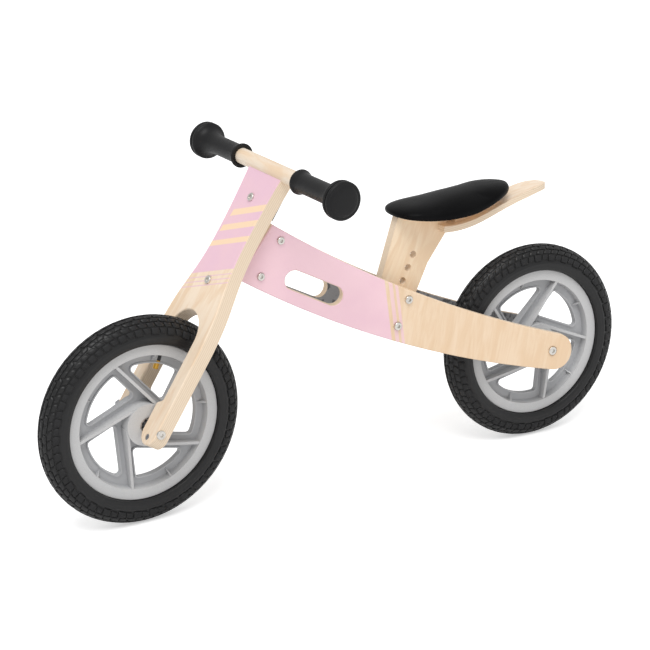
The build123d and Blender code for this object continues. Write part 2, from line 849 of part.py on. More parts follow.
def make_fork_board():
    board = Pos(board_rear, 0, 0) * extrude(Plane.YZ * board_outline(), board_thickness)
    reach = 2 * leg_outer
    groove_radius = bar_radius + seat_gap
    groove = Circle(groove_radius) + Pos(board_front / 2, board_top - bar_height) * Rectangle(
        2 * groove_radius + board_front, 2 * (board_top - bar_height))
    board = board - Pos(0, 0, bar_height) * standing(groove, reach)
    broad = board.faces().sort_by(Axis.X)
    below_lip = broad[-1].edges().sort_by(Axis.Z)[:-1]
    board = chamfer(broad[0].edges() + below_lip, board_edge_chamfer)
    board = board - rod(axle_radius + running_gap, -reach, reach)
    for place in fork_bolt_places():
        board = board - place * Cylinder(bolt_radius + seat_gap, 4 * board_thickness)
    for place in leg_screw_places():
        board = board - place * Pos(0, 0, screw_head_height) * Cylinder(
            leg_screw_head_radius + seat_gap, 2 * screw_head_height)
        board = board - place * Pos(0, 0, -leg_screw_length / 2) * Cylinder(
            screw_radius + seat_gap, leg_screw_length + 1)
    for place in bar_screw_places():
        board = board - place * Cylinder(screw_radius + seat_gap, board_thickness)
    return board


def make_knuckles():
    knuckles = []
    for bottom, top in knuckle_ranges():
        height = top - bottom
        middle = (top + bottom) / 2
        depth = setback + board_rear
        block = Pos(board_rear - depth / 2, 0, middle) * Box(depth, 2 * knuckle_radius, height)
        block = block + Pos(-setback, 0, middle) * Cylinder(knuckle_radius, height)
        block = block - Pos(-setback, 0, middle) * Cylinder(pivot_radius + seat_gap, height + 2)
        for place in fork_bolt_places():
            reach = fork_bolt_length + 1
            block = block - place * Pos(0, 0, -reach / 2) * Cylinder(bolt_radius + seat_gap, reach)
        knuckles.append(fork_frame * block)
    return Compound(knuckles)


def make_pivot_bolt():
    low, high = knuckle_ranges()
    length = high[1] - low[0] + nut_height + axle_tip
    return fork_frame * Pos(-setback, 0, high[1]) * bolt(
        pivot_radius, length, pivot_head_radius, pivot_head_height)


def make_pivot_nut():
    low = knuckle_ranges()[0][0]
    return fork_frame * Pos(-setback, 0, low - nut_height) * hex_nut(
        pivot_radius + seat_gap, pivot_head_radius, nut_height)


def make_handlebar():
    bar = fork_frame * Pos(0, 0, bar_height) * rod(bar_radius, -bar_length / 2, bar_length / 2)
    return cut(bar, [fork_frame * place * Cylinder(screw_radius + seat_gap, 2 * bar_screw_length + 1)
                     for place in bar_screw_places()])


bar_screw_length = bar_radius + board_thickness - board_front


def make_left_grip():
    bar_end = bar_length / 2 + seat_gap
    ring_start = grip_end - grip_knob_length
    flare_start = ring_start - grip_flare_length
    groove_start = grip_end - grip_disc_length - grip_groove_length
    disc_start = grip_end - grip_disc_length
    bore = bar_radius + seat_gap
    outline = Curve() + [
        Line((bar_end, 0), (bar_end, bore)),
        Line((bar_end, bore), (grip_start, bore)),
        Line((grip_start, bore), (grip_start, grip_flange_radius)),
        Bezier(
            (grip_start, grip_flange_radius), (grip_start + grip_flange_length / 3, grip_radius),
            (grip_start + grip_flange_length / 2, grip_radius),
            (grip_start + grip_flange_length, grip_radius),
        ),
        Line((grip_start + grip_flange_length, grip_radius), (flare_start, grip_radius)),
        Bezier(
            (flare_start, grip_radius), ((flare_start + ring_start) / 2, grip_radius),
            (ring_start - grip_flare_length / 6, grip_flare_radius - grip_flare_length / 6),
            (ring_start, grip_flare_radius),
        ),
        Line((ring_start, grip_flare_radius), (ring_start, grip_knob_radius)),
        Line((ring_start, grip_knob_radius), (groove_start, grip_knob_radius)),
        Line((groove_start, grip_knob_radius), (groove_start, grip_groove_radius)),
        Line((groove_start, grip_groove_radius), (disc_start, grip_groove_radius)),
        Line((disc_start, grip_groove_radius), (disc_start, grip_knob_radius)),
        Bezier(
            (disc_start, grip_knob_radius), (disc_start + grip_disc_length * 0.6, grip_knob_radius),
            (grip_end, grip_knob_radius * 0.6), (grip_end, 0),
        ),
        Line((grip_end, 0), (bar_end, 0)),
    ]
    return Pos(0, 0, bar_height) * revolve(Plane.YZ * make_face(outline), Axis.Y)


# ---------- Build ----------

pieces = {}

left_plate = make_left_plate()
pieces["frame_plate_left"] = finish_plate(left_plate)
pieces["frame_plate_right"] = make_right_plate(pieces["frame_plate_left"])
pieces["head_block"] = make_head_block()
pieces["head_tube"] = make_head_tube()
pieces["pivot_bushings"] = make_bushings()
barrel_radius = bolt_radius + running_gap + barrel_wall
pieces["head_bolts"], pieces["head_nuts"] = cross_bolts(
    head_bolt_points(), head_bolt_radius, barrel_radius)
pieces["seat_blocks"] = make_seat_blocks()
pieces["seat_bolts"], pieces["seat_nuts"] = cross_bolts(
    seat_bolt_points(), seat_bolt_head_radius, hole_radius - seat_gap)

rear_axle_at = Pos(0, 0, axle_height)
rear_seat = outer_y(0) - spot_depth
rear_bolt = bolt(axle_radius, 2 * rear_seat + nut_height + axle_tip, axle_head_radius, axle_head_height)
pieces["rear_axle_bolt"] = rear_axle_at * Pos(0, rear_seat, 0) * facing_left * rear_bolt
rear_nut = hex_nut(axle_radius + seat_gap, axle_head_radius, nut_height)
pieces["rear_axle_nut"] = rear_axle_at * Pos(0, -rear_seat, 0) * facing_right * rear_nut
rear_spacer = ring(axle_radius + running_gap, rear_spacer_radius, hub_half_width, inner_y(0) + spot_depth)
pieces["rear_axle_spacers"] = rear_axle_at * Compound([rear_spacer, mirrored(rear_spacer)])

seat_post = make_seat_post()
seat_screw_room = screw_room(seat_screw_places, seat_screw_length)
tail_screw_room = screw_room(tail_screw_places, tail_screw_length)
pieces["seat_post"] = cut(seat_post, seat_screw_room)
pieces["seat_base"] = cut(saddle_frame * make_seat_base(), seat_screw_room + tail_screw_room)
pieces["seat_pad"] = saddle_frame * make_seat_pad()
tail_board = make_tail_board(saddle_frame.inverse() * seat_post)
pieces["tail_board"] = cut(saddle_frame * tail_board, tail_screw_room)
pieces["tail_spacer"] = cut(saddle_frame * make_tail_spacer(), tail_screw_room)
pieces["seat_screws"] = Compound(screw_set(seat_screw_places, seat_screw_length))
pieces["tail_screws"] = Compound(screw_set(tail_screw_places, tail_screw_length))

pieces["fork_board"] = fork_frame * make_fork_board()
pieces["steering_knuckles"] = make_knuckles()
pieces["pivot_bolt"] = make_pivot_bolt()
pieces["pivot_nut"] = make_pivot_nut()
pieces["fork_bolts"] = Compound([
    fork_frame * place * bolt(bolt_radius, fork_bolt_length, fork_bolt_head_radius, fork_bolt_head_height)
    for place in fork_bolt_places()
])
pieces["leg_screws"] = Compound([
    fork_frame * place * bolt(screw_radius, leg_screw_length, leg_screw_head_radius, screw_head_height)
    for place in leg_screw_places()
])
pieces["handlebar"] = make_handlebar()
pieces["handlebar_screws"] = Compound([
    fork_frame * place * bolt(screw_radius, bar_screw_length, screw_head_radius, screw_head_height)
    for place in bar_screw_places()
])
left_grip = make_left_grip()
pieces["grip_left"] = fork_frame * left_grip
pieces["grip_right"] = fork_frame * mirrored(left_grip)

front_bolt = bolt(axle_radius, 2 * leg_outer + nut_height + axle_tip, axle_head_radius, axle_head_height)
pieces["front_axle_bolt"] = fork_frame * Pos(0, leg_outer, 0) * facing_left * front_bolt
front_nut = hex_nut(axle_radius + seat_gap, axle_head_radius, nut_height)
pieces["front_axle_nut"] = fork_frame * Pos(0, -leg_outer, 0) * facing_right * front_nut
front_spacer = ring(axle_radius + running_gap, washer_radius, hub_half_width, leg_inner)
pieces["front_axle_washers"] = fork_frame * Compound([front_spacer, mirrored(front_spacer)])

# Both wheels are the same. The rear one is mounted the other way round, and turned so that
# its valve stands behind the left plate.
front_wheel_at = fork_frame * Rot(0, head_tilt, 0)
rear_wheel_at = rear_axle_at * spin(rear_valve_angle + valve_angle - 180) * Rot(0, 0, 180)
for prefix, place in (("front", front_wheel_at), ("rear", rear_wheel_at)):
    for name, shape in wheel_pieces(prefix).items():
        pieces[name] = place * shape

os.makedirs("parts", exist_ok=True)
to_origin = Pos(-wheelbase / 2, 0, 0)
for name, shape in pieces.items():
    export_step(to_origin * shape, "parts/" + name + ".step")
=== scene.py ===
import math

import bmesh
import bpy
from mathutils import Matrix, Vector


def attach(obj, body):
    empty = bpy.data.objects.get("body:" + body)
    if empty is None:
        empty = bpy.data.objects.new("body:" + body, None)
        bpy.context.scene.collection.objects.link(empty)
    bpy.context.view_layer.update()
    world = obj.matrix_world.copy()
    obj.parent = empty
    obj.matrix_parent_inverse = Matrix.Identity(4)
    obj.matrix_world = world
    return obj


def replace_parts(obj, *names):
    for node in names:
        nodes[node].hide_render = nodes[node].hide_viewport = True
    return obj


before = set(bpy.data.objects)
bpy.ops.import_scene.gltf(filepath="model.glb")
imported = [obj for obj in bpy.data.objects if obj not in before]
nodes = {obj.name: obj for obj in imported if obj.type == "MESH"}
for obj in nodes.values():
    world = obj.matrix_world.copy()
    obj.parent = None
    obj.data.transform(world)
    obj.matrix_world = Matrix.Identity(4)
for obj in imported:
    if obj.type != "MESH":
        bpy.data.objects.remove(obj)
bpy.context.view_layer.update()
print("stage: frame loaded,", len(nodes), "parts")


# Where things are. Millimetres and degrees, X forward, Y left, Z up.

bike = {
    "wheelbase": 640,
    "axleHeight": 150,
    "headTilt": 33,
    "setback": 32,
    "turn": 4.35,
    "valveAngle": 110,
    "rearValveAngle": -0.9,
}


def turned(angle, axis):
    return Matrix.Rotation(math.radians(angle), 4, axis)


def shifted(x, y, z):
    return Matrix.Translation((x, y, z))


frontAxle = shifted(bike["wheelbase"] / 2, 0, bike["axleHeight"])
rearAxle = shifted(-bike["wheelbase"] / 2, 0, bike["axleHeight"])
forkPlace = (frontAxle @ turned(-bike["headTilt"], "Y") @ shifted(-bike["setback"], 0, 0)
             @ turned(bike["turn"], "Z") @ shifted(bike["setback"], 0, 0))
frontWheelPlace = forkPlace @ turned(bike["headTilt"], "Y")
rearWheelPlace = rearAxle @ turned(180 - bike["valveAngle"] - bike["rearValveAngle"], "Y") @ turned(180, "Z")


# Shader maths

def tint(red, green, blue):
    # A colour given as 0-255 display values.
    def linear(level):
        level = level / 255
        return level / 12.92 if level <= 0.04045 else ((level + 0.055) / 1.055) ** 2.4
    return (linear(red), linear(green), linear(blue), 1)


class Wire:
    # A node's output that can be used in sums.
    def __init__(self, graph, socket):
        self.graph = graph
        self.socket = socket

    def maths(self, operation, *values):
        return self.graph.node("Math", {"operation": operation}, dict(enumerate(values)))

    def __add__(self, other):
        return self.maths("ADD", self, other)

    def __radd__(self, other):
        return self.maths("ADD", other, self)

    def __sub__(self, other):
        return self.maths("SUBTRACT", self, other)

    def __rsub__(self, other):
        return self.maths("SUBTRACT", other, self)

    def __mul__(self, other):
        return self.maths("MULTIPLY", self, other)

    def __rmul__(self, other):
        return self.maths("MULTIPLY", other, self)

    def __truediv__(self, other):
        return self.maths("DIVIDE", self, other)

    def __abs__(self):
        return self.maths("ABSOLUTE", self)

    def larger(self, other):
        return self.maths("MAXIMUM", self, other)

    def folded(self, period):
        # Runs up and down between 0 and 1, once in two periods.
        return self.maths("PINGPONG", self, period) / period

    def rising(self, low, high):
        return self.graph.node(
            "MapRange", {"interpolation_type": "SMOOTHSTEP"},
            {"Value": self, "From Min": low, "From Max": high})

    def falling(self, low, high):
        return 1 - self.rising(low, high)

    def within(self, low, high, soft):
        return self.rising(low - soft, low + soft) * self.falling(high - soft, high + soft)


class Graph:
    # A node tree, and the one way in which nodes are added to it.
    def __init__(self, tree):
        self.tree = tree

    def node(self, kind, settings, inputs, output=0):
        made = self.tree.nodes.new("ShaderNode" + kind)
        for key, value in settings.items():
            setattr(made, key, value)
        for key, value in inputs.items():
            if isinstance(value, Wire):
                self.tree.links.new(value.socket, made.inputs[key])
            else:
                made.inputs[key].default_value = value
        return Wire(self, made.outputs[output]) if made.outputs else made


class Recipe(Graph):
    # One material, whose surface is a single Principled shader.
    def __init__(self, name, constants):
        self.material = bpy.data.materials.new(name)
        self.material.use_nodes = True
        super().__init__(self.material.node_tree)
        self.shader = self.tree.nodes["Principled BSDF"]
        for key, value in constants.items():
            self.shader.inputs[key].default_value = value
        self.place = self.node("TexCoord", {}, {}, "Object")

    def along(self, direction, origin=(0, 0, 0)):
        # Millimetres along a direction, from an origin in millimetres.
        direction = Vector(direction)
        reach = self.node("VectorMath", {"operation": "DOT_PRODUCT"}, {0: self.place, 1: direction}, "Value")
        return reach * 1000 - direction.dot(Vector(origin))

    def axes(self, place):
        # The three distances along a placement's own axes.
        origin = place.to_translation()
        return [self.along(place.col[i].to_3d(), origin) for i in range(3)]

    def point(self, x, y, z):
        return self.node("CombineXYZ", {}, {0: x, 1: y, 2: z})

    def noise(self, where, scale, detail=2.0, roughness=0.5, distortion=0.0):
        return self.node("TexNoise", {}, {
            "Vector": where, "Scale": scale, "Detail": detail,
            "Roughness": roughness, "Distortion": distortion})

    def cells(self, where, scale):
        return self.node("TexVoronoi", {}, {"Vector": where, "Scale": scale}, "Distance")

    def mix(self, share, first, second):
        return self.node("Mix", {"data_type": "RGBA"}, {0: share, 6: first, 7: second}, 2)

    def paint(self, colour=None, roughness=None, height=None, depth=0.0002, strength=0.5):
        shader = self.shader
        if colour:
            self.tree.links.new(colour.socket, shader.inputs["Base Color"])
        if roughness:
            self.tree.links.new(roughness.socket, shader.inputs["Roughness"])
        if height:
            bump = self.node("Bump", {}, {"Height": height, "Strength": strength, "Distance": depth}, "Normal")
            self.tree.links.new(bump.socket, shader.inputs["Normal"])
        return self.material


# Birch

birch = {
    "pale": (242, 217, 188),
    "deep": (227, 195, 157),
    "flame": (233, 202, 167),
    "pore": (205, 166, 124),
    "plyLight": (241, 222, 198),
    "plyDark": (222, 199, 170),
    "ply": 1.5,
    # pale and deep tints of the boards that differ from the plates
    "fork": ((246, 227, 204), (234, 207, 176)),
    # the post's tints are the birch made lighter as painted light, against the saddle's shadow on the post
    "post": ((249, 228, 199), (235, 206, 169)),
    "tail": ((249, 233, 214), (235, 211, 182)),
    "dowel": ((241, 227, 209), (231, 208, 178)),
    "hidden": ((226, 200, 170), (206, 174, 138)),
    "sheen": 0.4,
    "faceRelief": 0.5,
    "edgeRelief": 0.6,
    "reliefDepth": 0.0002,
    "reliefStrength": 0.35,
}


def birchFace(recipe, grain, across, depth, tints=(birch["pale"], birch["deep"]), seed=0.0):
    # Veneer seen flat: slow figure, fine fibres and a few short pores. Returns colour and height.
    pale, deep = (tint(*shade) for shade in tints)
    figure = recipe.noise(recipe.point(grain * 0.01 + seed, across * 0.045, depth * 0.05), 1, 3, 0.6, 1.1)
    streak = recipe.noise(recipe.point(grain * 0.014, across * 0.24 + seed, depth * 0.3), 1, 3, 0.6)
    fibre = recipe.noise(recipe.point(grain * 0.09, across * 3.2, depth * 2 + seed), 1, 2, 0.6)
    pore = recipe.noise(recipe.point(grain * 0.16 + seed, across * 2.1, depth), 1, 1).rising(0.69, 0.78)
    colour = recipe.mix(figure.rising(0.35, 0.66) * 0.75, pale, tint(*birch["flame"]))
    colour = recipe.mix(streak.rising(0.42, 0.72) * 0.4, colour, deep)
    colour = recipe.mix(fibre.rising(0.45, 0.8) * 0.14, colour, deep)
    colour = recipe.mix(pore * 0.25, colour, tint(*birch["pore"]))
    return colour, fibre - pore * 0.6


def birchRelief(face, faceHeight, edge, edgeHeight):
    # Face and edge heights, each where its mask is.
    return faceHeight * face * birch["faceRelief"] + edgeHeight * edge * birch["edgeRelief"]


def plyEdge(recipe, through, run, rise):
    # The veneers of a plywood edge, light and dark in turn.
    wander = recipe.noise(recipe.point(run * 0.03, through * 0.3, rise * 0.03), 1, 2) * 0.3
    layer = (through + wander).folded(birch["ply"]).rising(0.35, 0.65)
    speck = recipe.noise(recipe.point(run * 0.5, through * 2.0, rise * 0.5), 1, 3, 0.6)
    colour = recipe.mix(layer * 0.6, tint(*birch["plyLight"]), tint(*birch["plyDark"]))
    return recipe.mix(speck.rising(0.45, 0.8) * 0.15, colour, tint(*birch["pore"])), layer * 0.7 + speck


# The frame's two side plates

plate = {
    "thickness": 12,
    "halfWidth": 49,
    "splay": 5.32,
    "pink": (245, 208, 217),
    "pinkDeep": (240, 201, 213),
    # the plates' inner faces, which look at each other, are grey, with lighter patches and dark specks
    "innerGrey": (166, 166, 168),
    "innerGreyPatch": (182, 181, 180),
    "innerGreySpeck": (96, 96, 99),
    "pinkFrom": 236.8,  # the paint begins this far ahead of the rear axle, along the stripes' normal
    "stripes": ((225.6, 231.4), (217.4, 221.9)),
    "stripeNormal": (0.9936, 0, -0.1128),
    "stripeCover": 0.75,
    "brushEdge": 0.25,
    "roundedEdge": (1.3, 1.0),  # the face's colour wraps this far round the edge
    "innerGreyEdge": (0.15, 0.5),
    "grainLean": 11,
}


def plateFinish(side):
    name = "painted_ply_left" if side > 0 else "painted_ply_right"
    recipe = Recipe(name, {"Specular IOR Level": birch["sheen"]})
    splay = math.radians(plate["splay"])
    outward = (math.sin(splay), side * math.cos(splay), 0)
    backward = (-math.cos(splay), side * math.sin(splay), 0)
    inner = (-bike["wheelbase"] / 2, side * plate["halfWidth"], 0)
    through = recipe.along(outward, inner)
    back = recipe.along(backward, inner)
    up = recipe.along((0, 0, 1))
    lean = math.radians(plate["grainLean"])
    grain = up * math.cos(lean) + back * math.sin(lean)
    across = back * math.cos(lean) - up * math.sin(lean)
    wood, woodHeight = birchFace(recipe, grain, across, through)
    edge, edgeHeight = plyEdge(recipe, through, back, up)

    ahead = recipe.along(plate["stripeNormal"], (-bike["wheelbase"] / 2, 0, 0))
    waver = ahead + (recipe.noise(recipe.place, 260, 2) - 0.5) * 0.5
    painted = waver.rising(plate["pinkFrom"] - plate["brushEdge"], plate["pinkFrom"] + plate["brushEdge"])
    for low, high in plate["stripes"]:
        painted = painted + waver.within(low, high, 0.3) * plate["stripeCover"]
    cloud = recipe.noise(recipe.place, 14, 3)
    pink = recipe.mix(cloud.rising(0.35, 0.7), tint(*plate["pink"]), tint(*plate["pinkDeep"]))
    face = recipe.mix(painted, wood, pink)

    outer, inner = plate["roundedEdge"]
    outside = through.rising(plate["thickness"] - outer, plate["thickness"] - inner)
    # the inner face is grey, with lighter patches and dark specks
    inside = through.falling(*plate["innerGreyEdge"])
    scuff = recipe.noise(recipe.place, 420, 4, 0.7)
    dots = recipe.noise(recipe.place, 95, 2).rising(0.56, 0.64)
    innerGrey = recipe.mix(scuff.rising(0.35, 0.75) * 0.5, tint(*plate["innerGrey"]), tint(*plate["innerGreyPatch"]))
    innerGrey = recipe.mix(dots * 0.8, innerGrey, tint(*plate["innerGreySpeck"]))
    colour = recipe.mix(outside, edge, face)
    colour = recipe.mix(inside, colour, innerGrey)
    paintSkin = painted * outside
    height = birchRelief((1 - paintSkin) * outside, woodHeight, 1 - outside, edgeHeight) + cloud * 0.2
    roughness = 0.5 - paintSkin * 0.14 + (scuff - 0.5) * 0.1
    return recipe.paint(colour, roughness, height, birch["reliefDepth"], birch["reliefStrength"])


# The fork board

fork = {
    "front": 6,
    "rear": -16,
    "barHeight": 386,
    "stripeSlope": 0.39,
    "pinkFrom": 226.6,
    "bands": ((313.7, 323.7, -27), (291.0, 300.5, -30), (268.0, 276.5, -34)),
    "lines": (219.0, 212.0, 205.0),
    "lineWidth": 1.7,
    "lineCover": 0.8,
    "brushEdge": 0.3,
    "bandLean": 0.12,
    "bandStop": (36.2, 35.6),
    "roundedEdge": (1.25, 1.0),
    "backEdge": (0.15, 0.6),
    # the fork's pink is the plates' pink paint made darker as painted shade, since the fork's front takes more
    # light
    "pink": (238, 199, 209),
    "pinkDeep": (233, 194, 211),
    "cream": (249, 218, 184),
}


def forkFinish():
    recipe = Recipe("fork_ply", {"Specular IOR Level": birch["sheen"]})
    ahead, left, up = recipe.axes(forkPlace)
    wood, woodHeight = birchFace(recipe, up, left, ahead, birch["fork"], 3.7)
    edge, edgeHeight = plyEdge(recipe, ahead - 0.7, up, left)
    brush = fork["brushEdge"]
    slant = up - left * fork["stripeSlope"] + (recipe.noise(recipe.place, 300, 2) - 0.5) * 0.4
    painted = slant.rising(fork["pinkFrom"] - brush, fork["pinkFrom"] + brush)
    for middle in fork["lines"]:
        half = fork["lineWidth"] / 2
        painted = painted + slant.within(middle - half, middle + half, brush) * fork["lineCover"]
    cloud = recipe.noise(recipe.place, 12, 3)
    # these pinks are the plates' paint darkened as painted shade
    pink = recipe.mix(cloud.rising(0.35, 0.7), tint(*fork["pink"]), tint(*fork["pinkDeep"]))
    far, near = fork["bandStop"]
    bands = None
    for low, high, start in fork["bands"]:
        stop = (left - up * fork["bandLean"]).rising(start - far, start - near)
        band = slant.within(low, high, brush) * stop
        bands = band if bands is None else bands + band
    pink = recipe.mix(bands, pink, tint(*fork["cream"]))
    face = recipe.mix(painted, wood, pink)
    outer, inner = fork["roundedEdge"]
    outside = ahead.rising(fork["front"] - outer, fork["front"] - inner)
    low, high = fork["backEdge"]
    behind = ahead.falling(fork["rear"] + low, fork["rear"] + high)
    colour = recipe.mix(outside, edge, face)
    colour = recipe.mix(behind, colour, wood)
    skin = painted * outside
    height = birchRelief((outside + behind) * (1 - skin), woodHeight, 1 - outside - behind, edgeHeight)
    roughness = 0.48 - skin * 0.12 + (cloud - 0.5) * 0.08
    return recipe.paint(colour, roughness, height, birch["reliefDepth"], birch["reliefStrength"])


# The plain boards and the bar

postBoard = {
    "across": (0, 1, 0),
    "grain": (-0.4305, 0, 0.9026),
    "ahead": (0.9026, 0, 0.4305),
    "lowerBolt": (-67.3, 0, 226.6),
    "half": 7.5,
}


def postFinish():
    # A flat ply board, whose faces lie at half its thickness to both sides of its middle.
    recipe = Recipe("post_ply", {"Specular IOR Level": birch["sheen"]})
    depth = recipe.along(postBoard["across"], postBoard["lowerBolt"])
    run = recipe.along(postBoard["grain"], postBoard["lowerBolt"])
    side = recipe.along(postBoard["ahead"], postBoard["lowerBolt"])
    # the post's birch is lightened as painted light, against the saddle's shadow
    wood, woodHeight = birchFace(recipe, run, side, depth, birch["post"], 1.3)
    edge, edgeHeight = plyEdge(recipe, depth + 0.4, run, side)
    flat = abs(depth).rising(postBoard["half"] - 0.45, postBoard["half"] - 0.1)
    height = birchRelief(flat, woodHeight, 1 - flat, edgeHeight)
    colour = recipe.mix(flat, edge, wood)
    return recipe.paint(colour, 0.5 - flat * 0.05, height, birch["reliefDepth"], birch["reliefStrength"])


def tailFinish():
    # The tail board bends, so its faces are told from its edges by which way they look.
    recipe = Recipe("tail_ply", {"Specular IOR Level": birch["sheen"]})
    run = recipe.along((1, 0, 0.2))
    side = recipe.along((0, 1, 0))
    up = recipe.along((0, 0, 1))
    wood, woodHeight = birchFace(recipe, run, side, up * 0.2, birch["tail"], 5.1)
    edge, edgeHeight = plyEdge(recipe, up + run * 0.14, run, side)
    normal = recipe.node("TexCoord", {}, {}, "Normal")
    facing = abs(recipe.node("SeparateXYZ", {}, {0: normal}, "Z"))
    flat = facing.rising(0.6, 0.8)
    height = birchRelief(flat, woodHeight, 1 - flat, edgeHeight)
    colour = recipe.mix(flat, edge, wood)
    return recipe.paint(colour, 0.5 - flat * 0.05, height, birch["reliefDepth"], birch["reliefStrength"])


def dowelFinish():
    # A round birch bar with its grain along it.
    recipe = Recipe("birch_dowel", {"Specular IOR Level": birch["sheen"]})
    ahead, left, up = recipe.axes(forkPlace)
    wood, height = birchFace(recipe, left, up - fork["barHeight"], ahead, birch["dowel"], 8.2)
    return recipe.paint(wood, 0.46 + (height - 0.4) * 0.06, height, birch["reliefDepth"], 0.3)


def blockFinish():
    recipe = Recipe("plain_birch", {})
    wood, height = birchFace(
        recipe, recipe.along((-0.5, 0, 0.86)), recipe.along((0.86, 0, 0.5)), recipe.along((0, 1, 0)),
        birch["hidden"], 2.2)
    return recipe.paint(wood, 0.52 + (height - 0.4) * 0.08, height, 0.0003, 0.4)


# Metal and plastic

metal = {
    # colour, worn colour and roughness
    "bright_steel": ((226, 223, 217), (188, 185, 180), 0.28),
    "zinc_steel": ((186, 187, 190), (150, 151, 156), 0.4),
    "valve_brass": ((205, 160, 72), (166, 120, 50), 0.3),
    "black": (44, 44, 47),
    "blackWorn": (66, 66, 69),
}


def metalFinish(name):
    colour, worn, roughness = metal[name]
    recipe = Recipe(name, {"Metallic": 1.0})
    smear = recipe.noise(recipe.place, 240, 3, 0.6)
    scratch = recipe.noise(recipe.place, 1900, 2)
    mixed = recipe.mix(smear.rising(0.4, 0.8) * 0.6, tint(*colour), tint(*worn))
    return recipe.paint(mixed, roughness + (smear - 0.5) * 0.2, scratch + smear, 0.00006, 0.25)


def blackMetalFinish():
    recipe = Recipe("black_metal", {})
    grit = recipe.noise(recipe.place, 900, 3, 0.6)
    colour = recipe.mix(grit.rising(0.4, 0.8), tint(*metal["black"]), tint(*metal["blackWorn"]))
    return recipe.paint(colour, 0.42 + grit * 0.2, grit, 0.0001, 0.4)


moulded = {
    # colour, shade, roughness, how fine the etching is, its depth, and the sheen
    "white_nylon": ((222, 220, 214), (208, 206, 200), 0.5, 1500, 0.00012, 0.45),
    "tyre_black": ((27, 27, 28), (20, 20, 21), 0.4, 1100, 0.0001, 0.4),
    "tread_face": ((42, 42, 43), (31, 31, 32), 0.62, 900, 0.0002, 0.22),
    "tube_black": ((36, 36, 38), (28, 28, 30), 0.6, 1500, 0.00012, 0.45),
    "grip_black": ((29, 29, 30), (21, 21, 22), 0.42, 1200, 0.00025, 0.22),
    "cap_black": ((34, 34, 36), (26, 26, 28), 0.4, 1500, 0.00012, 0.45),
}


def mouldedFinish(name):
    # Moulded plastic or rubber with a fine etched texture.
    colour, shade, roughness, fineness, depth, sheen = moulded[name]
    recipe = Recipe(name, {"Specular IOR Level": sheen})
    etch = recipe.noise(recipe.place, fineness, 3, 0.6)
    cloud = recipe.noise(recipe.place, 30, 3)
    mixed = recipe.mix(etch.rising(0.35, 0.75) * 0.5, tint(*colour), tint(*shade))
    mixed = recipe.mix(cloud.rising(0.4, 0.8) * 0.35, mixed, tint(*shade))
    return recipe.paint(mixed, roughness + (etch - 0.5) * 0.16, etch * 0.7 + cloud * 0.3, depth, 0.5)


rim = {
    # the webs' grey is the ring's grey darkened as painted shade, down between the ring and the ribs
    "web": (176, 177, 179),
    "ring": (203, 203, 203),
    "etched": (176, 176, 178),
    "rise": (3, 13),  # from the wheel's middle plane: web below, ring and ribs above
    "sheen": 0.3,
    "etchDepth": 0.00022,
}


def rimFinish(name, place):
    # Grey plastic, with painted shade: a little darker down in the webs than on the ring and the ribs.
    recipe = Recipe(name, {"Specular IOR Level": rim["sheen"]})
    clearOfShade = abs(recipe.axes(place)[1]).rising(*rim["rise"])
    etch = recipe.noise(recipe.place, 1100, 3, 0.6)
    cloud = recipe.noise(recipe.place, 30, 3)
    colour = recipe.mix(clearOfShade, tint(*rim["web"]), tint(*rim["ring"]))
    colour = recipe.mix(etch.rising(0.35, 0.75) * 0.5, colour, tint(*rim["etched"]))
    return recipe.paint(colour, 0.46 + (etch - 0.5) * 0.16, etch * 0.8 + cloud * 0.2, rim["etchDepth"], 0.6)


leather = {
    "black": (15, 15, 16),
    "worn": (22, 22, 23),
    "crease": (9, 9, 10),
    "sheen": 0.04,
    "grainDepth": 0.00025,
}


def leatherFinish():
    recipe = Recipe("leatherette", {"Specular IOR Level": leather["sheen"]})
    bend = recipe.noise(recipe.place, 60, 2) * 0.004
    grain = recipe.cells(recipe.place, 620).rising(0.05, 0.6)
    fine = recipe.noise(recipe.place, 1400, 2)
    wear = recipe.noise(recipe.place, 22, 3)
    colour = recipe.mix(wear.rising(0.35, 0.75) * 0.5, tint(*leather["black"]), tint(*leather["worn"]))
    colour = recipe.mix(grain.falling(0.0, 0.5) * 0.3, colour, tint(*leather["crease"]))
    height = grain * 0.8 + fine * 0.2 + bend
    return recipe.paint(colour, 0.3 + wear * 0.12 - grain * 0.05, height, leather["grainDepth"], 0.4)


steel = metalFinish("bright_steel")
zinc = metalFinish("zinc_steel")
brass = metalFinish("valve_brass")
rubber = mouldedFinish("tyre_black")
treadRubber = mouldedFinish("tread_face")
tubeRubber = mouldedFinish("tube_black")
gripRubber = mouldedFinish("grip_black")
capPlastic = mouldedFinish("cap_black")
plain = blockFinish()
dowel = dowelFinish()

finishes = {
    "frame_plate_left": plateFinish(1),
    "frame_plate_right": plateFinish(-1),
    "fork_board": forkFinish(),
    "seat_post": postFinish(),
    "tail_board": tailFinish(),
    "handlebar": dowel,
    "head_block": plain,
    "seat_blocks": plain,
    "seat_base": plain,
    "tail_spacer": plain,
    "head_tube": zinc,
    "pivot_bushings": mouldedFinish("white_nylon"),
    "steering_knuckles": blackMetalFinish(),
    "front_rim": rimFinish("rim_grey_front", frontWheelPlace),
    "rear_rim": rimFinish("rim_grey_rear", rearWheelPlace),
    "leg_screws": zinc,
    "seat_pad": leatherFinish(),
}
for name in nodes:
    if name in finishes:
        continue
    if name.endswith(("_tyre", "_inner_tube")):
        finishes[name] = tubeRubber
    elif name.endswith("_valve"):
        finishes[name] = capPlastic
    elif name.endswith("_valve_cap"):
        finishes[name] = brass
    elif name.startswith("grip"):
        finishes[name] = gripRubber
    elif name.endswith(("spacer", "spacers", "races", "balls", "nut", "washers")):
        finishes[name] = zinc
    else:
        finishes[name] = steel
for name, part in nodes.items():
    part.data.materials.clear()
    part.data.materials.append(finishes[name])
print("stage: finishes")


# Making pieces

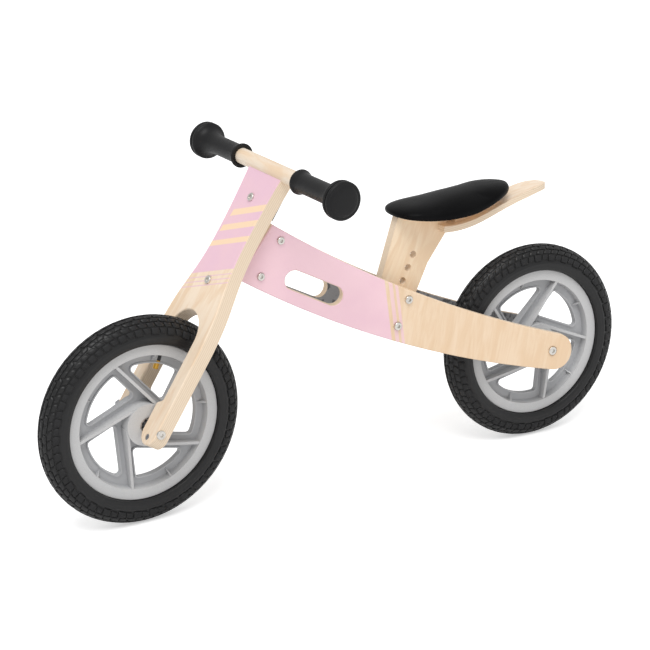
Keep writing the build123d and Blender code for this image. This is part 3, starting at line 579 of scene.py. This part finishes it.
def madePiece(name, body, place, points, faces, materials, faceMaterials=None, smooth=True):
    # Points are millimetres in the placement's own axes.
    mesh = bpy.data.meshes.new(name)
    mesh.from_pydata([place @ Vector(point) * 0.001 for point in points], [], faces)
    if faceMaterials:
        mesh.polygons.foreach_set("material_index", faceMaterials)
    for material in materials:
        mesh.materials.append(material)
    mesh.validate()
    shell = bmesh.new()
    shell.from_mesh(mesh)
    bmesh.ops.recalc_face_normals(shell, faces=shell.faces)
    shell.to_mesh(mesh)
    shell.free()
    mesh.polygons.foreach_set("use_smooth", [smooth] * len(mesh.polygons))
    piece = bpy.data.objects.new(name, mesh)
    bpy.context.scene.collection.objects.link(piece)
    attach(piece, body)
    return piece


def weld(piece):
    # Joins points that lie on each other and turns the faces outward.
    shell = bmesh.new()
    shell.from_mesh(piece.data)
    bmesh.ops.remove_doubles(shell, verts=shell.verts, dist=1e-5)
    bmesh.ops.dissolve_degenerate(shell, edges=shell.edges, dist=1e-5)
    bmesh.ops.recalc_face_normals(shell, faces=shell.faces)
    shell.to_mesh(piece.data)
    shell.free()


def lathe(profile, steps):
    # Turns a closed outline of (y, radius) points about Y.
    count = len(profile)
    points = []
    faces = []
    for step in range(steps):
        angle = 2 * math.pi * step / steps
        points += [(radius * math.cos(angle), y, radius * math.sin(angle)) for y, radius in profile]
        ahead = (step + 1) % steps * count
        here = step * count
        for i in range(count):
            j = (i + 1) % count
            faces.append((here + i, here + j, ahead + j, ahead + i))
    return points, faces


# Tyres

tyre = {
    "sectionRadius": 123.5,
    "tall": 26.5,
    "half": 21,
    "groove": 1.5,
    "sink": 0.8,
    "steps": 272,
    "pitches": 34,
    "draft": 0.35,
    "pitchLength": 24.0,
    "smoothFrom": 80,  # degrees down from the crown where the casing comes up to the blocks' height
    "smoothOver": 7,
    "beads": (90, 102),
    "beadHeight": 0.35,
    # the bead's foot and the inside, as side and radius
    "foot": ((18.9, 113.3), (17.6, 112.9), (13.9, 112.85), (10.4, 112.75), (10.4, 101.4), (6.6, 101.4),
             (6.6, 114.0), (14.8, 117.0), (16.6, 124.0), (14.4, 134.0), (9.0, 141.0), (0, 144.6)),
    # start and end as shares of a pitch, low and high as degrees down from the crown, skew as a share
    "blocks": (
        (0.02, 0.50, 57, 80, 0.03, 1),
        (0.56, 0.95, 58, 77, 0.12, 1),
        (0.30, 0.76, 40, 55, 0.14, 0),
        (0.82, 1.24, 40, 55, 0.10, 0),
        (0.05, 0.50, 22, 37, -0.12, 0),
        (0.56, 0.99, 22, 37, 0.10, 0),
        (0.30, 0.75, 5, 19, 0.10, 0),
        (0.81, 1.24, 5, 19, -0.08, 0),
    ),
}


def tyreSpot(turn, down, side, inset):
    # A point of the tyre's skin: turn round the wheel and down from the crown, in degrees.
    down = math.radians(down)
    turn = math.radians(turn)
    out = Vector((math.cos(down) / tyre["tall"], math.sin(down) / tyre["half"])).normalized()
    radius = tyre["sectionRadius"] + tyre["tall"] * math.cos(down) - out.x * inset
    y = side * (tyre["half"] * math.sin(down) - out.y * inset)
    return (radius * math.cos(turn), y, radius * math.sin(turn))


def casingProfile():
    half = []
    for down in range(0, 112, 3):
        fade = min(max((down - tyre["smoothFrom"]) / tyre["smoothOver"], 0), 1)
        inset = tyre["groove"] * (1 - fade * fade * (3 - 2 * fade))
        inset -= tyre["beadHeight"] * (down in tyre["beads"])
        radius, y, rise = tyreSpot(0, down, 1, inset)
        half.append((y, radius))
    half += tyre["foot"]
    mirrored = [(-y, radius) for y, radius in reversed(half[1:-1])]
    return half + mirrored


def treadBlock(points, faces, faceMaterials, start, end, low, high, skew, side, bright):
    # A raised block that follows the tyre's curve, on a grid of 3 by 3 faces.
    grid = 4
    first = len(points)
    pitch = 360 / tyre["pitches"]
    width = tyre["draft"] / (end - start) / tyre["pitchLength"]
    for inset, draw in ((tyre["groove"] + tyre["sink"], 0.0), (0.0, width)):
        for i in range(grid):
            for j in range(grid):
                across = draw + (1 - 2 * draw) * i / (grid - 1)
                fall = draw + (1 - 2 * draw) * j / (grid - 1)
                share = start + (end - start) * across + skew * (fall - 0.5)
                points.append(tyreSpot(share * pitch, low + (high - low) * fall, side, inset))

    def corner(layer, i, j):
        return first + layer * grid * grid + i * grid + j

    for i in range(grid - 1):
        for j in range(grid - 1):
            for layer in (0, 1):
                faces.append((corner(layer, i, j), corner(layer, i + 1, j), corner(layer, i + 1, j + 1),
                              corner(layer, i, j + 1)))
                faceMaterials.append(layer * bright)
    loop = [(i, 0) for i in range(grid)] + [(grid - 1, j) for j in range(1, grid)]
    loop += [(i, grid - 1) for i in range(grid - 2, -1, -1)] + [(0, j) for j in range(grid - 2, 0, -1)]
    for here, ahead in zip(loop, loop[1:] + loop[:1]):
        faces.append((corner(0, *here), corner(0, *ahead), corner(1, *ahead), corner(1, *here)))
        faceMaterials.append(0)


def makeTyre(name, body, place):
    points, faces = lathe(casingProfile(), tyre["steps"])
    faceMaterials = [0] * len(faces)
    for pitch in range(tyre["pitches"]):
        for start, end, low, high, skew, bright in tyre["blocks"]:
            for side in (1, -1):
                shift = pitch + (0.5 if side < 0 else 0)
                treadBlock(points, faces, faceMaterials, start + shift, end + shift,
                           low, high, skew, side, bright)
    cover = madePiece(name, body, place, points, faces, [rubber, treadRubber], faceMaterials)
    return cover


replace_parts(makeTyre("front_tyre_tread", "front_wheel", frontWheelPlace), "front_tyre")
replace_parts(makeTyre("rear_tyre_tread", "rear_wheel", rearWheelPlace), "rear_tyre")
print("stage: tyres")


# Grips

grip = {
    "steps": 96,
    "profile": (
        (78.0, 11.2), (78.0, 16.2), (78.4, 17.1), (79.2, 17.5), (80.6, 17.4), (82.5, 16.6), (85.0, 15.3),
        (88.0, 14.4), (92.0, 14.0), (105.0, 13.9), (125.0, 13.9), (145.0, 14.0), (155.0, 14.2), (162.0, 15.2),
        (167.0, 17.2), (170.5, 20.0), (172.5, 22.6), (173.6, 24.8), (174.8, 25.9), (176.2, 26.3), (178.4, 26.3),
        (179.4, 25.8), (179.9, 24.4), (180.1, 22.4), (180.9, 21.6), (181.7, 22.4), (181.9, 24.4), (182.4, 25.8),
        (183.4, 26.3), (185.4, 26.2), (186.8, 25.4), (187.5, 24.0), (187.6, 22.8), (187.2, 21.9), (187.5, 21.2),
        (188.5, 20.2), (189.2, 17.5), (189.7, 12.0), (189.95, 6.0), (190.0, 0.0), (186.4, 0.0), (186.4, 11.2),
    ),
}


def makeGrip(name, side, node):
    profile = [(side * y, radius) for y, radius in grip["profile"]]
    points, faces = lathe(profile, grip["steps"])
    place = forkPlace @ shifted(0, 0, fork["barHeight"])
    piece = madePiece(name, "fork", place, points, faces, [gripRubber])
    weld(piece)
    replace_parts(piece, node)
    return piece


bar = {
    "half": 175,
    "radius": 11.15,
    "brokenEdge": 0.8,
    "middle": 60,
}


def makeBar():
    # The dowel between the grips, with its end edges broken.
    half, radius, cut, middle = bar["half"], bar["radius"], bar["brokenEdge"], bar["middle"]
    profile = [(-half, 0), (-half, radius - cut), (cut - half, radius), (-middle, radius), (0, radius),
               (middle, radius), (half - cut, radius), (half, radius - cut), (half, 0), (0, 0)]
    points, faces = lathe(profile, grip["steps"])
    place = forkPlace @ shifted(0, 0, fork["barHeight"])
    piece = madePiece("handlebar_dowel", "fork", place, points, faces, [dowel])
    weld(piece)
    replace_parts(piece, "handlebar")


makeGrip("grip_left_rubber", 1, "grip_left")
makeGrip("grip_right_rubber", -1, "grip_right")
makeBar()
print("stage: grips and bar")


# Saddle pad, in millimetres from a point above the lower seat bolt

pad = {
    "origin": (-67.3, 0, 375.0),
    "side": ((-12, 0), (-12.5, 8), (-14.5, 18), (-18.5, 28), (-25, 36), (-36, 42.5), (-50, 46.5), (-70, 49.5),
             (-90, 50.5), (-110, 50.5), (-130, 49.5), (-145, 47.5), (-160, 44.5), (-172, 40.8), (-184, 34.5),
             (-192, 28.5), (-200, 20), (-205, 10.5), (-208, 0)),
    "base": ((6, 6.8), (-38, 1.3), (-62, -1.1), (-93, -1.9), (-124, 0.3), (-150, 6.3), (-175, 13.6),
             (-214, 21.5)),
    "top": ((6, 18), (-12, 20.1), (-40, 21.6), (-75, 22.9), (-110, 26.3), (-140, 29.2), (-165, 33.2),
            (-196, 37.0), (-214, 39)),
    "rings": (0.0, 0.14, 0.28, 0.42, 0.55, 0.67, 0.77, 0.85, 0.91, 0.955, 0.985),
    "spine": (-160, -56),
    "around": 168,
    "basePlate": 6.4,
    "skirt": 4.4,
    "gathers": 5 / 12,  # for each point round the edge
    "gatherDepth": 0.45,
    "crown": 3.2,
    "edge": 0.34,  # how far up the side the cover is at its widest
    "puff": 6.0,  # no point moves further than this
    "pressure": 4.0,
    "slack": 2.6,  # the top starts this much lower and the pressure lifts it
    "clothMass": 0.25,
    "stretch": 18,
    "bending": 1.2,
    "fineSteps": 20,
}


def smoothThrough(knots, value):
    # A smooth curve through (x, z) knots that run towards lower x.
    knots = sorted(knots)
    for i in range(len(knots) - 1):
        if value <= knots[i + 1][0] or i == len(knots) - 2:
            (x0, z0), (x1, z1) = knots[i], knots[i + 1]
            before = knots[max(i - 1, 0)]
            after = knots[min(i + 2, len(knots) - 1)]
            slope0 = (z1 - before[1]) / (x1 - before[0])
            slope1 = (after[1] - z0) / (after[0] - x0)
            t = min(max((value - x0) / (x1 - x0), 0), 1)
            span = x1 - x0
            return ((2 * t ** 3 - 3 * t ** 2 + 1) * z0 + (t ** 3 - 2 * t ** 2 + t) * span * slope0
                    + (3 * t ** 2 - 2 * t ** 3) * z1 + (t ** 3 - t ** 2) * span * slope1)
    return knots[-1][1]


def padOutline():
    # Evenly spaced points round the plan.
    half = [Vector(spot) for spot in pad["side"]]
    fine = []
    for i in range(len(half) - 1):
        before = half[i - 1] if i else Vector((half[1].x, -half[1].y))
        after = half[i + 2] if i + 2 < len(half) else Vector((half[-2].x, -half[-2].y))
        for step in range(pad["fineSteps"]):
            t = step / pad["fineSteps"]
            fine.append(0.5 * (2 * half[i] + (half[i + 1] - before) * t
                               + (2 * before - 5 * half[i] + 4 * half[i + 1] - after) * t ** 2
                               + (3 * half[i] - before - 3 * half[i + 1] + after) * t ** 3))
    loop = fine + [half[-1]] + [Vector((spot.x, -spot.y)) for spot in reversed(fine[1:])]
    lengths = [0.0]
    for here, ahead in zip(loop, loop[1:] + loop[:1]):
        lengths.append(lengths[-1] + (ahead - here).length)
    spots = []
    index = 0
    for step in range(pad["around"]):
        want = lengths[-1] * step / pad["around"]
        while lengths[index + 1] < want:
            index += 1
        share = (want - lengths[index]) / (lengths[index + 1] - lengths[index])
        spots.append(loop[index].lerp(loop[(index + 1) % len(loop)], share))
    return spots


def padLayers(outline):
    # Rings from the middle of the top, over the side and back under. Each is (points, held).
    count = len(outline)
    low, high = pad["spine"]
    spine = [Vector((min(max(spot.x, low), high), 0)) for spot in outline]
    inward = []
    for i, spot in enumerate(outline):
        along = (outline[(i + 1) % count] - outline[i - 1]).normalized()
        normal = Vector((-along.y, along.x))
        inward.append(normal if normal.dot(spine[i] - spot) > 0 else -normal)

    def base(x):
        return smoothThrough(pad["base"], x)

    layers = []
    for ring in pad["rings"]:
        points = []
        for i, spot in enumerate(outline):
            flat = spine[i].lerp(spot, ring)
            floor = base(flat.x)
            top = smoothThrough(pad["top"], flat.x) - pad["slack"]
            edge = floor + (top - floor) * pad["edge"]
            crown = (1 - ring ** pad["crown"]) ** 0.5
            points.append((flat.x, flat.y, edge + (top - edge) * crown))
        layers.append((points, False))
    for inset, share, held in (
            (0.0, pad["edge"], False), (0.1, 0.22, False), (0.6, 0.1, True), (1.6, 0.02, True)):
        points = []
        for i, spot in enumerate(outline):
            flat = spot + inward[i] * inset
            floor = base(flat.x)
            rise = (smoothThrough(pad["top"], flat.x) - pad["slack"] - floor) * share
            gather = pad["gatherDepth"] * math.sin(i * 2 * math.pi * pad["gathers"]) * (share < 0.2)
            points.append((flat.x, flat.y + gather * inward[i].y, floor + rise + gather * 0.4))
        layers.append((points, held))
    for inset, rise in ((3.4, 0.1), (pad["skirt"], 0.6), (pad["skirt"] + 0.1, pad["basePlate"])):
        points = []
        for i, spot in enumerate(outline):
            flat = spot + inward[i] * inset
            points.append((flat.x, flat.y, base(flat.x) + rise))
        layers.append((points, True))
    for ring in (0.6, 0.3, 0.0):
        points = []
        for i, spot in enumerate(outline):
            flat = spine[i].lerp(spot + inward[i] * (pad["skirt"] + 0.1), ring)
            points.append((flat.x, flat.y, base(flat.x) + pad["basePlate"]))
        layers.append((points, True))
    return layers


def inflate(piece, heldFrom, frames=20):
    # Lets the cover blow up under its own pressure, with the underside held.
    held = piece.vertex_groups.new(name="held")
    held.add(heldFrom, 1.0, "REPLACE")
    start = [vertex.co.copy() for vertex in piece.data.vertices]
    cloth = piece.modifiers.new("Cloth", "CLOTH")
    settings = cloth.settings
    settings.quality = 6
    settings.mass = pad["clothMass"]
    settings.tension_stiffness = pad["stretch"]
    settings.compression_stiffness = pad["stretch"]
    settings.bending_stiffness = pad["bending"]
    settings.use_pressure = True
    settings.uniform_pressure_force = pad["pressure"]
    settings.vertex_group_mass = "held"
    settings.effector_weights.gravity = 0.0
    cloth.collision_settings.use_collision = False
    cloth.point_cache.frame_start = 1
    cloth.point_cache.frame_end = frames
    scene = bpy.context.scene
    for step in range(1, frames + 1):
        scene.frame_set(step)
    shape = piece.evaluated_get(bpy.context.evaluated_depsgraph_get())
    end = [vertex.co.copy() for vertex in shape.data.vertices]
    piece.modifiers.remove(cloth)
    scene.frame_set(1)
    limit = pad["puff"] / 1000
    for vertex, before, after in zip(piece.data.vertices, start, end):
        move = after - before
        if move.length > limit:
            move = move.normalized() * limit
        vertex.co = before + move


def makePad():
    outline = padOutline()
    layers = padLayers(outline)
    count = len(outline)
    points = []
    for ring, held in layers:
        points += ring
    faces = []
    for layer in range(len(layers) - 1):
        for i in range(count):
            j = (i + 1) % count
            here = layer * count
            faces.append((here + i, here + j, here + count + j, here + count + i))
    place = shifted(*pad["origin"])
    piece = madePiece("seat_pad_cover", "frame", place, points, faces, [finishes["seat_pad"]])
    weld(piece)
    origin = Vector(pad["origin"])
    heldPoints = set()
    for ring, held in layers:
        if held:
            heldPoints.update(tuple(round(value, 2) for value in origin + Vector(point)) for point in ring)
    heldFrom = [vertex.index for vertex in piece.data.vertices
                if tuple(round(value * 1000, 2) for value in vertex.co) in heldPoints]
    print("stage: pad,", len(piece.data.vertices), "points,", len(heldFrom), "held")
    inflate(piece, heldFrom)
    finer = piece.modifiers.new("finer", "SUBSURF")
    finer.levels = 1
    finer.render_levels = 1
    shape = bpy.data.meshes.new_from_object(piece.evaluated_get(bpy.context.evaluated_depsgraph_get()))
    piece.modifiers.remove(finer)
    piece.data = shape
    piece.data.polygons.foreach_set("use_smooth", [True] * len(piece.data.polygons))
    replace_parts(piece, "seat_pad")


board = {
    "middle": (-100, 0),
    "drawnIn": 0.12,
    "under": 0.1,
    "top": 6.2,
}


def makeSeatBoard():
    # The thin board under the cover, drawn in a little from its edge.
    middle = Vector(board["middle"])
    outline = [spot.lerp(middle, board["drawnIn"]) for spot in padOutline()]
    count = len(outline)
    points = []
    faces = []
    for ring, rise in ((0.0, board["under"]), (0.5, board["under"]), (1.0, board["under"]),
                       (1.0, board["top"]), (0.5, board["top"]), (0.0, board["top"])):
        for spot in outline:
            flat = middle.lerp(spot, ring)
            points.append((flat.x, flat.y, smoothThrough(pad["base"], flat.x) + rise))
    for here in range(0, 5 * count, count):
        for i in range(count):
            j = (i + 1) % count
            faces.append((here + i, here + j, here + count + j, here + count + i))
    piece = madePiece("seat_board", "frame", shifted(*pad["origin"]), points, faces, [plain], smooth=False)
    weld(piece)
    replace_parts(piece, "seat_base")


makePad()
makeSeatBoard()
print("stage: saddle")


# Light, floor and camera

studio = {
    "sunStrength": 1.45,
    "sunSpread": 32,
    "sunFrom": (0.3, 0.5, 1.0),
    "sky": 0.68,
    "floor": (246, 246, 246),
    "floorGlow": 0.44,
    "backdrop": 1.0,
    "floorReach": 40.0,
    "eye": (1.1946, 2.2112, 1.0592),
    "right": (-0.88483, 0.46593, 0.0),
    "up": (-0.14599, -0.27724, 0.94966),
    "roll": -1.32,
    "lens": 102.51,
    "sensor": 36,
    "farthest": 200,
}


def seen(graph):
    # 1 on the rays that carry the background itself to the camera.
    straight = graph.node("LightPath", {}, {}, "Is Camera Ray")
    return straight.larger(graph.node("LightPath", {}, {}, "Is Transmission Ray"))


def makeWorld():
    world = bpy.data.worlds.new("studio")
    bpy.context.scene.world = world
    world.use_nodes = True
    graph = Graph(world.node_tree)
    graph.tree.nodes.clear()
    dome = graph.node("Background", {}, {"Color": (1, 1, 1, 1), "Strength": studio["sky"]})
    white = graph.node("Background", {}, {"Color": (1, 1, 1, 1), "Strength": studio["backdrop"]})
    blend = graph.node("MixShader", {}, {0: seen(graph), 1: dome, 2: white})
    graph.node("OutputWorld", {}, {"Surface": blend})


def makeFloor():
    reach = studio["floorReach"]
    corners = [(-reach, -reach, 0), (reach, -reach, 0), (reach, reach, 0), (-reach, reach, 0)]
    mesh = bpy.data.meshes.new("floor")
    mesh.from_pydata(corners, [], [(0, 1, 2, 3)])
    floor = bpy.data.objects.new("floor", mesh)
    bpy.context.scene.collection.objects.link(floor)
    material = bpy.data.materials.new("floor_white")
    material.use_nodes = True
    graph = Graph(material.node_tree)
    graph.tree.nodes.clear()
    matt = graph.node("BsdfDiffuse", {}, {"Color": tint(*studio["floor"])})
    glow = graph.node("Emission", {}, {"Strength": seen(graph) * studio["floorGlow"]})
    both = graph.node("AddShader", {}, {0: matt, 1: glow})
    graph.node("OutputMaterial", {}, {"Surface": both})
    mesh.materials.append(material)


def makeSun():
    light = bpy.data.lights.new("key", "SUN")
    light.energy = studio["sunStrength"]
    light.angle = math.radians(studio["sunSpread"])
    sun = bpy.data.objects.new("key", light)
    sun.rotation_euler = Vector(studio["sunFrom"]).to_track_quat("Z", "Y").to_euler()
    bpy.context.scene.collection.objects.link(sun)


def makeCamera():
    data = bpy.data.cameras.new("view")
    data.lens = studio["lens"]
    data.sensor_width = studio["sensor"]
    data.clip_end = studio["farthest"]
    roll = math.radians(studio["roll"])
    right = Vector(studio["right"]) * math.cos(roll) + Vector(studio["up"]) * math.sin(roll)
    up = Vector(studio["up"]) * math.cos(roll) - Vector(studio["right"]) * math.sin(roll)
    back = right.cross(up).normalized()
    camera = bpy.data.objects.new("view", data)
    camera.matrix_world = Matrix.Translation(studio["eye"]) @ Matrix((right, up, back)).transposed().to_4x4()
    bpy.context.scene.collection.objects.link(camera)
    bpy.context.scene.camera = camera


makeWorld()
makeFloor()
makeSun()
makeCamera()
scene = bpy.context.scene
scene.view_settings.view_transform = "Standard"
print("stage: studio")
